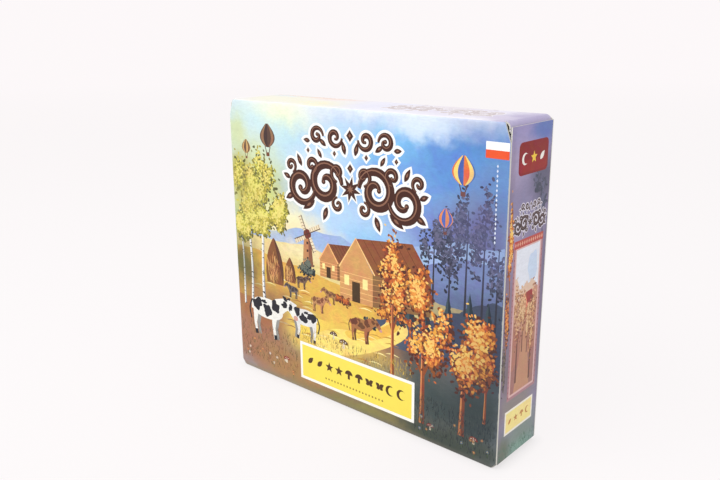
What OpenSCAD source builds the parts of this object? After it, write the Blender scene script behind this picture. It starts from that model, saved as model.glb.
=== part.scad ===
/* [Carton] */
// Width across the two end closures
box_w = 200; // [196:1:210]
// Depth from the front face to the back face
box_d = 41; // [39.5:0.5:46]
// Height of the standing carton
box_h = 180; // [172:1:195]
// Thickness of the printed paperboard
board_t = 0.8; // [0.6:0.05:0.9]

/* [Creases] */
// Outside radius of the four long creases
long_crease_r = 1.5; // [1:0.1:2.5]
// Outside radius of the rolled folds that carry the dust flaps
roll_r = 3.2; // [2.4:0.1:4]
// Open score line beside the bead of a hinged crease
score_gap = 0.12; // [0.06:0.01:0.2]
// Clearance between two layers that lie on each other
layer_gap = 0.3; // [0.2:0.05:0.4]

/* [Cut corners] */
// How far the free corners of the front are cut in from the side
corner_in = 3.4; // [2:0.1:5]
// Height of the slanted cut at the upper corners of the front
upper_cut_h = 10; // [5:0.5:14]
// Height of the slanted cut at the lower corners of the front
lower_cut_h = 4; // [3:0.5:10]

/* [End closures] */
// Distance of a closure's cut edges from the top and bottom faces
closure_inset = 2.6; // [2:0.1:4]

/* [Tuck flaps] */
// Length of a tuck flap, measured along its curl
tuck_l = 15; // [10:0.5:16]
// Radius to which a tuck flap curls, so that it clears the front as it swings out
tuck_curl_r = 23.5; // [20:0.5:24]
// How much shorter a tuck flap is than its closure, at each end
tuck_inset = 4; // [2:0.5:8]
// Radius of a tuck flap's free corners
tuck_corner_r = 11; // [4:0.5:12]

/* [Dust flaps] */
// Length of a dust flap below its crease
dust_l = 28; // [15:1:31]
// Slant of the edge beside the closure's hinge, in degrees
dust_hinge_slant = 29; // [28:0.5:32]
// Slant of the edge beside the tuck flap, in degrees
dust_tuck_slant = 9; // [8:0.5:12]
// Length of the straight shoulder beside the tuck flap
dust_shoulder_l = 0.8; // [0.5:0.1:1.2]
// Radius of a dust flap's free corners
dust_corner_r = 4; // [2:0.5:5]

/* [Glue flap] */
// Width of the glue flap
glue_w = 15; // [10:0.5:20]
// Slant of the glue flap's ends, in degrees
glue_slant = 20; // [5:1:35]
// Distance of the glue flap from the rolled folds
glue_inset = 2; // [1:0.5:6]

/* [Tiles] */
// Play of the three columns of tiles between the ends of the insert, at each end
tile_end_gap = 1.45; // [0.5:0.05:4]
// Thickness of a tile
tile_t = 2.25; // [1.8:0.05:2.3]
// Air between two tiles of a stack
tile_air = 0.05; // [0.03:0.01:0.06]
// Radius of a tile's corners
tile_corner_r = 5; // [2:0.5:8]
// Number of tiles in a stack
tiles_per_stack = 12; // [8:1:12]
// Gap between neighbouring stacks
stack_gap = 0.5; // [0.3:0.1:0.8]

/* [Card insert] */
// Thickness of the insert's card
insert_t = 0.6; // [0.4:0.1:0.8]
// Radius of the finger notches in the rails
notch_r = 9; // [6:0.5:9.5]

/* [Rules leaflet] */
// Width of the folded leaflet
leaflet_w = 148; // [120:1:150]
// Height of the folded leaflet
leaflet_h = 105; // [80:1:120]
// Thickness of one leaf
leaf_t = 0.25; // [0.2:0.05:0.3]
// Radius inside the leaflet's fold
leaf_fold_r = 0.15; // [0.1:0.05:0.25]

/* [Hidden] */
$fn = 64;
tile_columns = 3;
tile_rows = 2;
stack_count = tile_columns * tile_rows;

// How far a cutting shape reaches past what it cuts
past = 1;
// Side planes of the carton
front_y = -box_d / 2;
back_y = box_d / 2;
end_x = box_w / 2;
// The bead of a crease is as thick as the board
bead_r = board_t / 2;
// Distance from a crease's axis at which the hinged piece starts
crease_start = bead_r + score_gap;
// Vertical crease between the back and a closure
hinge_x = end_x - bead_r;
hinge_y = back_y - bead_r;
// Vertical crease between a closure and its tuck flap
tuck_y = front_y + board_t + layer_gap + bead_r;
// Half the width of the rolled folds and of the dust flaps, inside the front and the back
flap_half_w = box_d / 2 - board_t - layer_gap;
// Outer face of the dust flaps, under the closures
dust_x = end_x - board_t - layer_gap / 2;
// Where the flat of the top and bottom ends and the rolled fold starts
flat_x = dust_x - roll_r;
// Edge of a dust flap that lies behind the tuck flap
dust_tuck_y = tuck_y + bead_r + 2 * layer_gap;
insert_end_x = dust_x - board_t - layer_gap;
// Square tiles, of the size that fills the width in three columns
tile_w = (2 * (insert_end_x - tile_end_gap) - (tile_columns - 1) * stack_gap) / tile_columns;
// Tile stacks and the well that holds them
tile_pitch = tile_t + tile_air;
stack_d = tiles_per_stack * tile_pitch - tile_air;
well_h = tile_rows * tile_w + (tile_rows + 1) * stack_gap;
// The insert lies against the glue flap
insert_back_y = back_y - 2 * board_t - layer_gap;
insert_front_y = insert_back_y - 2 * insert_t - stack_d - layer_gap;
insert_low_z = board_t + layer_gap;
rail_z = (box_h - well_h) / 2;
stack_back_y = insert_back_y - insert_t - layer_gap;
// The leaflet leans on the insert's rail and on the tiles
leaflet_back_y = insert_front_y - layer_gap;

// An arc of points from angle a0 to angle a1
function arc_points(centre, r, a0, a1, steps) =
    [for (i = [0 : steps]) let (a = a0 + (a1 - a0) * i / steps) centre + r * [cos(a), sin(a)]];

// Extrudes a (Y, Z) profile along X, centred
module along_x(length) {
    rotate([90, 0, 90])
        linear_extrude(height = length, center = true)
            children();
}

// Extrudes an (X, Z) profile along Y, centred
module along_y(length) {
    rotate([90, 0, 0])
        linear_extrude(height = length, center = true)
            children();
}

// A sector of a disc of radius r, from angle a0 over angle span
module sector(r, a0, span) {
    reach = 2 * r;
    intersection() {
        circle(r);
        polygon([
            [0, 0],
            reach * [cos(a0), sin(a0)],
            reach * [cos(a0 + span / 2), sin(a0 + span / 2)],
            reach * [cos(a0 + span), sin(a0 + span)]
        ]);
    }
}

// A bent strip of board: outer radius r, thickness t
module bend(r, t, a0, span) {
    difference() {
        sector(r, a0, span);
        circle(r - t);
    }
}

// Half of the bead at the end of a strip of board
module half_bead(a0) {
    sector(bead_r, a0, 180);
}

// Section of an upright panel at the front, with its halves of the two long creases
module upright_section() {
    translate([front_y, long_crease_r])
        square([board_t, box_h - 2 * long_crease_r]);
    translate([front_y + long_crease_r, box_h - long_crease_r])
        bend(long_crease_r, board_t, 135, 45);
    translate([front_y + long_crease_r, long_crease_r])
        bend(long_crease_r, board_t, 180, 45);
}

// Section of the top panel, with its halves of the two long creases
module level_section() {
    translate([front_y + long_crease_r, box_h - board_t])
        square([box_d - 2 * long_crease_r, board_t]);
    translate([front_y + long_crease_r, box_h - long_crease_r])
        bend(long_crease_r, board_t, 90, 45);
    translate([back_y - long_crease_r, box_h - long_crease_r])
        bend(long_crease_r, board_t, 45, 45);
}

// Slanted cuts at the four corners of an upright panel
module corner_cuts(half_w, inward, upper_h, lower_h) {
    for (side = [0, 1])
        mirror([side, 0, 0])
            along_y(2 * box_d) {
                polygon([
                    [half_w - inward, box_h + past],
                    [half_w - inward, box_h],
                    [half_w, box_h - upper_h],
                    [half_w + past, box_h - upper_h],
                    [half_w + past, box_h + past]
                ]);
                polygon([
                    [half_w - inward, -past],
                    [half_w - inward, 0],
                    [half_w, lower_h],
                    [half_w + past, lower_h],
                    [half_w + past, -past]
                ]);
            }
}

module front_panel() {
    color("steelblue")
        difference() {
            along_x(box_w) upright_section();
            corner_cuts(end_x, corner_in, upper_cut_h, lower_cut_h);
        }
}

module back_panel() {
    color("cadetblue") {
        difference() {
            along_x(2 * hinge_x) mirror([1, 0]) upright_section();
            corner_cuts(hinge_x, corner_in, closure_inset, closure_inset);
        }
        for (side = [0, 1])
            mirror([side, 0, 0])
                translate([hinge_x, hinge_y, closure_inset])
                    linear_extrude(height = box_h - 2 * closure_inset)
                        half_bead(-90);
    }
}

// The flat of the top with a rolled fold at each end, which ends in the bead of a crease
module level_panel() {
    along_x(2 * flat_x) level_section();
    for (side = [0, 1])
        mirror([side, 0, 0])
            along_y(2 * flap_half_w)
                translate([flat_x, box_h - roll_r]) {
                    bend(roll_r, board_t, 0, 90);
                    translate([roll_r - bead_r, 0]) half_bead(180);
                }
}

module top_panel() {
    color("lavender") level_panel();
}

module bottom_panel() {
    color("rosybrown")
        translate([0, 0, box_h])
            mirror([0, 0, 1])
                level_panel();
}

// Glued to the inside of the back, under the top crease
module glue_flap() {
    glue_half_l = flat_x - glue_inset;
    glue_top_z = box_h - long_crease_r;
    end_cut = glue_w * tan(glue_slant);
    color("whitesmoke")
        translate([0, back_y - board_t - board_t / 2, 0])
            along_y(board_t)
                polygon([
                    [-glue_half_l, glue_top_z],
                    [glue_half_l, glue_top_z],
                    [glue_half_l - end_cut, glue_top_z - glue_w],
                    [end_cut - glue_half_l, glue_top_z - glue_w]
                ]);
}

// A closure at the right end: the panel, and the bead of the crease to its tuck flap
module closure() {
    closure_h = box_h - 2 * closure_inset;
    translate([end_x - board_t, tuck_y, closure_inset])
        cube([board_t, hinge_y - crease_start - tuck_y, closure_h]);
    translate([hinge_x, tuck_y, closure_inset])
        linear_extrude(height = closure_h)
            half_bead(180);
}

module right_closure() {
    color("mediumpurple") closure();
}

module left_closure() {
    color("mediumpurple") mirror([1, 0, 0]) closure();
}

// A tuck flap at the right end: a curled strip with two round corners
module tuck_flap() {
    curl_angle = tuck_l / tuck_curl_r * 180 / PI;
    start_x = hinge_x - crease_start;
    tip_x = start_x - tuck_curl_r * sin(curl_angle);
    low_z = closure_inset + tuck_inset;
    flap_h = box_h - 2 * low_z;
    difference() {
        translate([start_x, tuck_y + tuck_curl_r, low_z])
            linear_extrude(height = flap_h)
                bend(tuck_curl_r + bead_r, board_t, 270 - curl_angle, curl_angle);
        for (side = [0, 1])
            translate([0, 0, box_h / 2])
                mirror([0, 0, side])
                    translate([tip_x, 0, flap_h / 2])
                        along_y(2 * box_d)
                            difference() {
                                translate([-past, -tuck_corner_r])
                                    square([tuck_corner_r + past, tuck_corner_r + past]);
                                translate([tuck_corner_r, -tuck_corner_r])
                                    circle(tuck_corner_r);
                            }
    }
}

module right_tuck_flap() {
    color("gainsboro") tuck_flap();
}

module left_tuck_flap() {
    color("gainsboro") mirror([1, 0, 0]) tuck_flap();
}

// A dust flap at the right end of the top: a tapered tongue with a shoulder beside the tuck flap
module dust_flap() {
    crease_z = box_h - roll_r;
    root_z = crease_z - crease_start;
    end_z = crease_z - dust_l;
    shoulder_z = root_z - dust_shoulder_l;
    neck_z = shoulder_z - (dust_tuck_y + flap_half_w);
    tuck_end_y = dust_tuck_y + (neck_z - end_z) * tan(dust_tuck_slant);
    hinge_end_y = flap_half_w - (root_z - end_z) * tan(dust_hinge_slant);
    // A corner's arc touches the end edge and the slanted edge
    tuck_arc = [
        tuck_end_y + dust_corner_r * tan(45 + dust_tuck_slant / 2) - dust_corner_r * tan(dust_tuck_slant),
        end_z + dust_corner_r
    ];
    hinge_arc = [
        hinge_end_y - dust_corner_r * tan(45 - dust_hinge_slant / 2),
        end_z + dust_corner_r
    ];
    corner_steps = 8;
    translate([dust_x - board_t / 2, 0, 0])
        along_x(board_t)
            polygon(concat(
                [
                    [flap_half_w, root_z],
                    [-flap_half_w, root_z],
                    [-flap_half_w, shoulder_z],
                    [dust_tuck_y, neck_z]
                ],
                arc_points(tuck_arc, dust_corner_r, 180 + dust_tuck_slant, 270, corner_steps),
                arc_points(hinge_arc, dust_corner_r, 270, 360 - dust_hinge_slant, corner_steps)
            ));
}

// The bottom's dust flaps are the top's, turned over
module turned_over() {
    translate([0, 0, box_h])
        mirror([0, 0, 1])
            children();
}

module right_top_dust_flap() {
    color("thistle") dust_flap();
}

module right_bottom_dust_flap() {
    color("darkseagreen") turned_over() dust_flap();
}

module left_top_dust_flap() {
    color("thistle") mirror([1, 0, 0]) dust_flap();
}

module left_bottom_dust_flap() {
    color("darkseagreen") turned_over() mirror([1, 0, 0]) dust_flap();
}

// Middle of the column or row number i of count, with a pitch
function place(i, count, pitch) = (i - (count - 1) / 2) * pitch;

// Slanted cuts at the outer corners of both rails, clear of the rolled folds
module rail_end_cuts() {
    for (side = [0, 1], level = [0, 1])
        translate([0, 0, box_h / 2])
            mirror([side, 0, 0])
                mirror([0, 0, level])
                    translate([flat_x, 0, insert_low_z - box_h / 2])
                        along_y(2 * box_d)
                            polygon([
                                [0, 0],
                                [insert_end_x - flat_x, roll_r - insert_low_z],
                                [insert_end_x - flat_x + past, roll_r - insert_low_z],
                                [insert_end_x - flat_x + past, -past],
                                [0, -past]
                            ]);
}

// One sheet of card, folded to a rail along the bottom, a well for the tiles and a rail along the top
module card_insert() {
    fold = [
        [insert_back_y, insert_low_z],
        [insert_front_y, insert_low_z],
        [insert_front_y, rail_z],
        [insert_back_y - insert_t, rail_z]
    ];
    return_fold = [
        [insert_back_y, rail_z - insert_t],
        [insert_front_y + insert_t, rail_z - insert_t],
        [insert_front_y + insert_t, insert_low_z + insert_t],
        [insert_back_y, insert_low_z + insert_t]
    ];
    upper_fold = [for (i = [3 : -1 : 0]) [fold[i][0], box_h - fold[i][1]]];
    upper_return = [for (i = [3 : -1 : 0]) [return_fold[i][0], box_h - return_fold[i][1]]];
    color("burlywood")
        difference() {
            along_x(2 * insert_end_x)
                polygon(concat(fold, upper_fold, upper_return, return_fold));
            rail_end_cuts();
            for (column = [0 : tile_columns - 1])
                translate([place(column, tile_columns, tile_w + stack_gap), insert_front_y, 0]) {
                    translate([0, 0, insert_low_z + insert_t + past])
                        cylinder(h = box_h - 2 * (insert_low_z + insert_t + past), r = notch_r);
                    for (edge_z = [rail_z, box_h - rail_z])
                        translate([0, 0, edge_z])
                            rotate([90, 0, 0])
                                cylinder(h = 2 * (insert_t + past), r = notch_r, center = true);
                }
        }
}

// A sheet folded once, standing upright, with its fold at the left
module rules_leaflet() {
    fold_r = leaf_fold_r + leaf_t;
    color("ivory")
        translate([0, leaflet_back_y - fold_r, insert_low_z])
            linear_extrude(height = leaflet_h) {
                for (leaf_y = [leaf_fold_r, -fold_r])
                    translate([fold_r - leaflet_w / 2, leaf_y])
                        square([leaflet_w - fold_r, leaf_t]);
                translate([fold_r - leaflet_w / 2, 0])
                    difference() {
                        sector(fold_r, 90, 180);
                        circle(leaf_fold_r);
                    }
            }
}

// A square tile with round corners, its back face at y = 0
module tile() {
    half = tile_w / 2;
    inner = half - tile_corner_r;
    rotate([90, 0, 0])
        linear_extrude(height = tile_t)
            difference() {
                square(tile_w, center = true);
                for (turn = [0 : 90 : 270])
                    rotate(turn)
                        translate([inner, inner])
                            difference() {
                                square(tile_corner_r + past);
                                circle(tile_corner_r);
                            }
            }
}

// Stack number i, counted along the lower row and then along the upper row
module tile_stack(i) {
    column = (i - 1) % tile_columns;
    row = floor((i - 1) / tile_columns);
    pitch = tile_w + stack_gap;
    color("peru")
        translate([place(column, tile_columns, pitch), stack_back_y, box_h / 2 + place(row, tile_rows, pitch)])
            for (layer = [0 : tiles_per_stack - 1])
                translate([0, -layer * tile_pitch, 0])
                    tile();
}

front_panel();
back_panel();
top_panel();
bottom_panel();
glue_flap();
right_closure();
left_closure();
right_tuck_flap();
left_tuck_flap();
right_top_dust_flap();
right_bottom_dust_flap();
left_top_dust_flap();
left_bottom_dust_flap();
card_insert();
rules_leaflet();
for (i = [1 : stack_count])
    tile_stack(i);
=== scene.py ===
"""Upright paperboard carton of a picture tile game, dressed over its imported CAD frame.

All lengths in the picture work are millimetres on a sheet, u across and v up, as a viewer in front of
that side of the carton sees it. They become metres where a mesh is made.
"""

import math

import bpy
import numpy as np
from mathutils import Matrix, Vector


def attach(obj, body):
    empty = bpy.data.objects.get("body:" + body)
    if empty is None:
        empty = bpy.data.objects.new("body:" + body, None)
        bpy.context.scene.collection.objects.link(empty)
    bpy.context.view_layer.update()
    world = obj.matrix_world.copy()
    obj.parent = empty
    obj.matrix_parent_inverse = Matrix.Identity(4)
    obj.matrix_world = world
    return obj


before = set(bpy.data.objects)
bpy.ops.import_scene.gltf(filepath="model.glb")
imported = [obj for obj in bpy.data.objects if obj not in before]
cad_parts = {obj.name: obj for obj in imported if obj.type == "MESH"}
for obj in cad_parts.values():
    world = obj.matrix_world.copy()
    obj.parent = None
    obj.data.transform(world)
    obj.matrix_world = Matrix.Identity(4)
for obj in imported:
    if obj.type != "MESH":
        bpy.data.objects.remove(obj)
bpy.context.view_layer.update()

MM = 0.001
WIDTH, DEPTH, HEIGHT = 200.0, 41.0, 180.0
CREASE_R, ROLL_R, BEAD_R = 1.5, 3.2, 0.4
ROLL_REACH = 99.05
INK_DEPTH = 0.06
STACK_BACK, TILE_PITCH = 17.7, 2.3
TINT_FROM, TINT_FULL = 97.6, 99.4  # out from the middle, where the end's ink wraps on to a tuck flap
BLEED_FROM, BLEED_FULL = 70.0, 73.0  # up and down from mid height, where a dust flap's print begins
FAR = 1.0  # a half size in metres that no side reaches

GLOSSY, MATT = 0.36, 0.86
INK_SHINE = {"Coat_Roughness": 0.16, "Specular_IOR_Level": 0.16}
INK_COAT = 0.08


# ---------------------------------------------------------------- colours and shader nodes

def ink(red, green, blue):
    """A colour written as it looks, 0 to 255 a channel, as the linear light that shaders work in."""
    shown = np.array([red, green, blue], float) / 255.0
    linear = np.where(shown <= 0.04045, shown / 12.92, ((shown + 0.055) / 1.055) ** 2.4)
    return (float(linear[0]), float(linear[1]), float(linear[2]), 1.0)


class Value:
    """A shader socket with arithmetic: each step adds a node to the socket's tree."""

    def __init__(self, socket):
        self.socket = socket

    def __add__(self, other):
        return maths("ADD", self, other)

    def __sub__(self, other):
        return maths("SUBTRACT", self, other)

    def __rsub__(self, other):
        return maths("SUBTRACT", other, self)

    def __mul__(self, other):
        return maths("MULTIPLY", self, other)

    def __truediv__(self, other):
        return maths("DIVIDE", self, other)

    def __abs__(self):
        return maths("ABSOLUTE", self)

    def all_outputs(self):
        """Every output of the socket's node, by name."""
        return {socket.name: Value(socket) for socket in self.socket.node.outputs}


def fill(node, inputs):
    """Links or writes values to a node's inputs by name or number."""
    for key, value in inputs.items():
        if isinstance(value, Value):
            node.id_data.links.new(value.socket, node.inputs[key])
        else:
            node.inputs[key].default_value = value


def feed(node, **inputs):
    """Fills inputs by name; an underscore in a keyword stands for a space."""
    fill(node, {key.replace("_", " "): value for key, value in inputs.items()})


def add(kind, inputs=None, out=0, tree=None, **settings):
    """Adds a node, applies its settings, fills its inputs and gives one of its outputs. It goes into the tree
    of its inputs unless a tree is given."""
    inputs = inputs or {}
    tree = tree or next(v.socket.id_data for v in inputs.values() if isinstance(v, Value))
    node = tree.nodes.new(kind)
    for key, value in settings.items():
        setattr(node, key, value)
    fill(node, inputs)
    return Value(node.outputs[out])


def use(made, **inputs):
    """Places a node group, fills its inputs and gives its outputs by name."""
    return add("ShaderNodeGroup", inputs, node_tree=made).all_outputs()


def maths(operation, *values):
    """One step of arithmetic, on vectors where a value isn't a plain number."""
    plain = all(v.socket.type == "VALUE" if isinstance(v, Value) else isinstance(v, (int, float)) for v in values)
    kind = "ShaderNodeMath" if plain else "ShaderNodeVectorMath"
    return add(kind, dict(enumerate(values)), operation=operation)


def greater(first, second):
    """The greater of two values, or of each of their parts."""
    return maths("MAXIMUM", first, second)


def lesser(first, second):
    """The lesser of two values."""
    return maths("MINIMUM", first, second)


def length_of(vector):
    """How long a vector is."""
    return add("ShaderNodeVectorMath", {0: vector}, "Value", operation="LENGTH")


def parts_of(vector):
    """The three parts of a vector."""
    return list(add("ShaderNodeSeparateXYZ", {0: vector}).all_outputs().values())


def spread(value, low, high, to_low=0.0, to_high=1.0, curve="LINEAR"):
    """A straight change from to_low at low to to_high at high, held at both ends."""
    return add("ShaderNodeMapRange", {"Value": value, "From Min": low, "From Max": high, "To Min": to_low,
                                      "To Max": to_high}, "Result", interpolation_type=curve)


def ramp(value, low, high, to_low=0.0, to_high=1.0):
    """A smooth step from to_low at low to to_high at high."""
    return spread(value, low, high, to_low, to_high, "SMOOTHSTEP")


def noise(vector, scale, detail=2.0, rough=0.5, distortion=0.0, out="Fac"):
    """A noise texture over a vector, as a value or as a colour."""
    return add("ShaderNodeTexNoise", {"Vector": vector, "Scale": scale, "Detail": detail, "Roughness": rough,
                                      "Distortion": distortion}, out)


def mapped(vector, scale=(1.0, 1.0, 1.0), turn=0.0):
    """A vector stretched and turned about the third axis."""
    return add("ShaderNodeMapping", {"Vector": vector, "Rotation": (0, 0, turn), "Scale": scale})


def blend(factor, first, second, mode="MIX"):
    """Two colours mixed by a factor. A mix node's colours are its inputs 6 and 7 and its output 2."""
    return add("ShaderNodeMix", {0: factor, 6: first, 7: second}, 2, data_type="RGBA", blend_type=mode)


def brightened(colour, value, hue=0.5):
    """A colour times a value, its hue moved by what hue has over a half."""
    return add("ShaderNodeHueSaturation", {"Hue": hue, "Value": value, "Color": colour})


def tiled(vector, first, second, joint, scale, gap, high):
    """A grid of two colours with joints between."""
    return add("ShaderNodeTexBrick", {"Vector": vector, "Color1": first, "Color2": second, "Mortar": joint,
                                      "Scale": scale, "Mortar Size": gap, "Mortar Smooth": 0.1, "Bias": 0.0,
                                      "Brick Width": 0.9, "Row Height": high}, "Color", offset=0.0)


def group(name, build, **inputs):
    """A node group with these inputs and defaults; build makes its outputs by name from its inputs."""
    tree = bpy.data.node_groups.new(name, "ShaderNodeTree")
    for label, default in inputs.items():
        kind = "Float" if isinstance(default, float) else {3: "Vector", 4: "Color"}[len(default)]
        tree.interface.new_socket(label, in_out="INPUT", socket_type="NodeSocket" + kind).default_value = default
    given = tree.nodes.new("NodeGroupInput").outputs
    made = build(*(Value(given[label]) for label in inputs))
    for label in made:
        kind = "Color" if label == "Color" else "Float"
        tree.interface.new_socket(label, in_out="OUTPUT", socket_type="NodeSocket" + kind)
    fill(tree.nodes.new("NodeGroupOutput"), made)
    return tree


def daub(place, centre, reach, under, tone, strength):
    """A soft patch of colour: an ellipse round its centre, full inside and gone at its reach."""
    return {"Color": blend(ramp(length_of((place - centre) / reach), 1.0, 0.15) * strength, under, tone)}


def brushwork(place, colour, strength):
    """Paint strokes in a print: lightness and hue wander along slanted strokes, with a fine dot grain."""
    strokes = noise(mapped(place, (0.55, 1.25, 1.0), 0.5), 0.42, 4.0, 0.6, 1.4)
    light = strokes - 0.5 + (noise(place, 3.1, 1.0) - 0.5) * 0.22
    hue = (noise(place, 0.11, 3.0, 0.55, 0.8) - 0.5) * (strength * 0.16) + 0.5
    return {"Color": brightened(colour, light * strength + 1.0, hue)}


def printed_side(position, half, radius):
    """1 on the outer skin of a rounded box with this half size and edge radius, 0 below the ink."""
    depth = radius - length_of(greater(abs(position - MIDDLE) - half, NOWHERE))
    return {"Mask": spread(depth, INK_DEPTH * MM, 0.5 * INK_DEPTH * MM)}


def crease_wear(position, reach, amount):
    """Scuffing along the carton's edges: where two of the three distances to its sides are small."""
    x, y, z = parts_of((WIDTH / 2 * MM, DEPTH / 2 * MM, HEIGHT / 2 * MM) - abs(position - MIDDLE))
    second = greater(lesser(x, y), lesser(greater(x, y), z))
    edge = greater(1.0 - second / (reach * MM), 0.0)
    return {"Mask": edge * ramp(noise(position, 240.0, 5.0, 0.65), 0.48, 0.68) * amount}


def paper_fibre(position, colour, flecks):
    """Uncoated board or paper: short fibres, cloudy formation and a few dark flecks."""
    fibres = noise(mapped(position, (1.0, 0.8, 0.25)), 1900.0, 3.0, 0.6, 0.8)
    clouds = spread(noise(position, 95.0, 3.0), 0.3, 0.7, -0.018, 0.018)
    fleck = ramp(noise(position, 820.0, 2.0, 0.5, 1.2), 0.69, 0.75)
    tone = brightened(colour, spread(fibres, 0.3, 0.7, 0.97, 1.025) + clouds)
    return {"Color": blend(fleck * flecks, tone, ink(150, 132, 108)), "Height": fibres}


MIDDLE = (0, 0, HEIGHT / 2 * MM)
NOWHERE, ONES, WHITE = (0, 0, 0), (1, 1, 1), (1, 1, 1, 1)
LINING, CUT_EDGE = ink(238, 236, 228), ink(213, 208, 199)
DAUB = group("soft_daub", daub, Place=NOWHERE, Centre=NOWHERE, Spread=ONES, Under=WHITE, Ink=WHITE, Strength=1.0)
BRUSHWORK = group("brushwork", brushwork, Place=NOWHERE, Color=WHITE, Strength=0.3)
PRINTED_SIDE = group("printed_side", printed_side, Position=NOWHERE, Half=ONES, Radius=CREASE_R * MM)
WEAR = group("crease_wear", crease_wear, Position=NOWHERE, Reach=1.4, Amount=0.5)
FIBRE = group("paper_fibre", paper_fibre, Position=NOWHERE, Color=WHITE, Flecks=0.3)


def new_material(name):
    """A node material, its Principled BSDF and the object's own place in metres."""
    material = bpy.data.materials.new(name)
    material.use_nodes = True
    tree = material.node_tree
    shader = next(n for n in tree.nodes if n.type == "BSDF_PRINCIPLED")
    return material, shader, add("ShaderNodeTexCoord", out="Object", tree=tree)


def surface(shader, colour, rough, height, strength, distance, **more):
    """Sets a shader's colour, roughness and relief (a height, its strength and how many millimetres it stands
    for), and any other inputs by name."""
    relief = add("ShaderNodeBump", {"Strength": strength, "Distance": distance * MM, "Height": height})
    feed(shader, Base_Color=colour, Roughness=rough, Normal=relief, **more)


def sheet_place(position, across, up):
    """Sheet place in millimetres: across and up are (axis, sign, offset) of the object's own place."""
    parts = parts_of(position)
    u, v = (parts[axis] * (sign / MM) + offset for axis, sign, offset in (across, up))
    return add("ShaderNodeCombineXYZ", {0: u, 1: v})


def painted(place, ground, daubs, strokes, warp=9.0, painted_top_highlight=None, foot=None):
    """A painted ground: soft daubs laid over one another, their edges pushed about by noise, then brushwork.
    A painted top highlight (low, high, colour) pales the top strip like glare along the top crease, and a foot
    (left colour, right colour) is painted shade on the lowest strip, where the board turns under."""
    pushed = place
    for scale, push in ((0.035, 2.2 * warp), (0.16, 0.9 * warp)):
        drift = noise(place, scale, 3.0, 0.6, out="Color") - (0.5, 0.5, 0.5)
        pushed = drift * (push, push, 0.0) + pushed
    colour = ground
    for u, v, wide, high, tone in daubs:
        colour = use(DAUB, Place=pushed, Centre=(u, v, 0), Spread=(wide, high, FAR), Under=colour,
                     Ink=ink(*tone[:3]), Strength=tone[3] if len(tone) > 3 else 1.0)["Color"]
    # Painted shade: the lowest strip is darkened where the board turns under at the bottom crease.
    if foot:
        across, rise, _ = parts_of(place)
        tone = blend(spread(across, 60, 180), ink(*foot[0]), ink(*foot[1]))
        colour = blend(ramp(rise, 4.2, 0.9, 0.0, 0.7), colour, tone)
    # Painted highlight: the top strip is paled like glare along the top crease.
    if painted_top_highlight:
        colour = blend(ramp(parts_of(pushed)[1], painted_top_highlight[0], painted_top_highlight[1], 0.0, 0.5), colour, ink(*painted_top_highlight[2]))
    return use(BRUSHWORK, Place=place, Color=colour, Strength=strokes)["Color"]


def side_mask(position, kinds):
    """Where a panel is printed: on the sleeve's skin, on its rolled folds or on an end's skin."""
    forms = {
        "sleeve": (FAR, DEPTH / 2 * MM, HEIGHT / 2 * MM, CREASE_R * MM),
        "roll": (ROLL_REACH * MM, FAR, HEIGHT / 2 * MM, ROLL_R * MM),
        "end": (WIDTH / 2 * MM, DEPTH / 2 * MM, FAR, BEAD_R * MM),
    }
    masks = []
    for kind in kinds:
        radius = forms[kind][3]
        half = [side if side == FAR else side - radius for side in forms[kind][:3]]
        masks.append(use(PRINTED_SIDE, Position=position, Half=half, Radius=radius)["Mask"])
    return masks[0] if len(masks) == 1 else greater(*masks)


def face_axis(position, axis):
    """How squarely a face looks along one of the object's axes, 0 to 1."""
    normal = add("ShaderNodeNewGeometry", out="Normal", tree=position.socket.id_data)
    own = add("ShaderNodeVectorTransform", {"Vector": normal}, vector_type="NORMAL", convert_from="WORLD",
              convert_to="OBJECT")
    return abs(parts_of(own)[axis])


def varnish(place):
    """A gloss varnish over print: its smeared roughness, and a height of slow swells with fine orange peel."""
    sheen = spread(noise(place, 0.05, 3.0), 0.3, 0.7, GLOSSY - 0.05, GLOSSY + 0.07)
    return sheen, noise(place, 0.07) * 1.6 + noise(place, 1.1, 3.0) * 0.06


def finish_board(shader, position, place, printed, mask, thickness_axis):
    """Varnished print where the mask says, bare white lining inside and darker stock on cut edges."""
    lined = spread(face_axis(position, thickness_axis), 0.3, 0.6)
    stock = blend(lined, CUT_EDGE, LINING)
    board = use(FIBRE, Position=position, Color=stock, Flecks=0.25)
    inked = mask * (1.0 - use(WEAR, Position=position, Reach=0.6, Amount=0.35)["Mask"])
    sheen, height = varnish(place)
    height = height + board["Height"] * 0.12 * (1.0 - inked)
    surface(shader, blend(inked, board["Color"], printed), inked * (sheen - MATT) + MATT, height, 0.5, 0.1,
            Coat_Weight=inked * INK_COAT, **INK_SHINE)


def printed_board(name, across, up, kinds, ground, daubs, strokes=0.3, warp=9.0, painted_top_highlight=None, foot=None):
    """Printed carton board of one side."""
    material, shader, position = new_material(name)
    place = sheet_place(position, across, up)
    printed = painted(place, ink(*ground), daubs, strokes, warp, painted_top_highlight, foot)
    finish_board(shader, position, place, printed, side_mask(position, kinds), 3 - across[0] - up[0])
    return material


X_RIGHT, X_LEFT = (0, 1, WIDTH / 2), (0, -1, WIDTH / 2)
Y_BACK, Y_FRONT = (1, 1, DEPTH / 2), (1, -1, DEPTH / 2)
Z_UP = (2, 1, 0.0)

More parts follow.
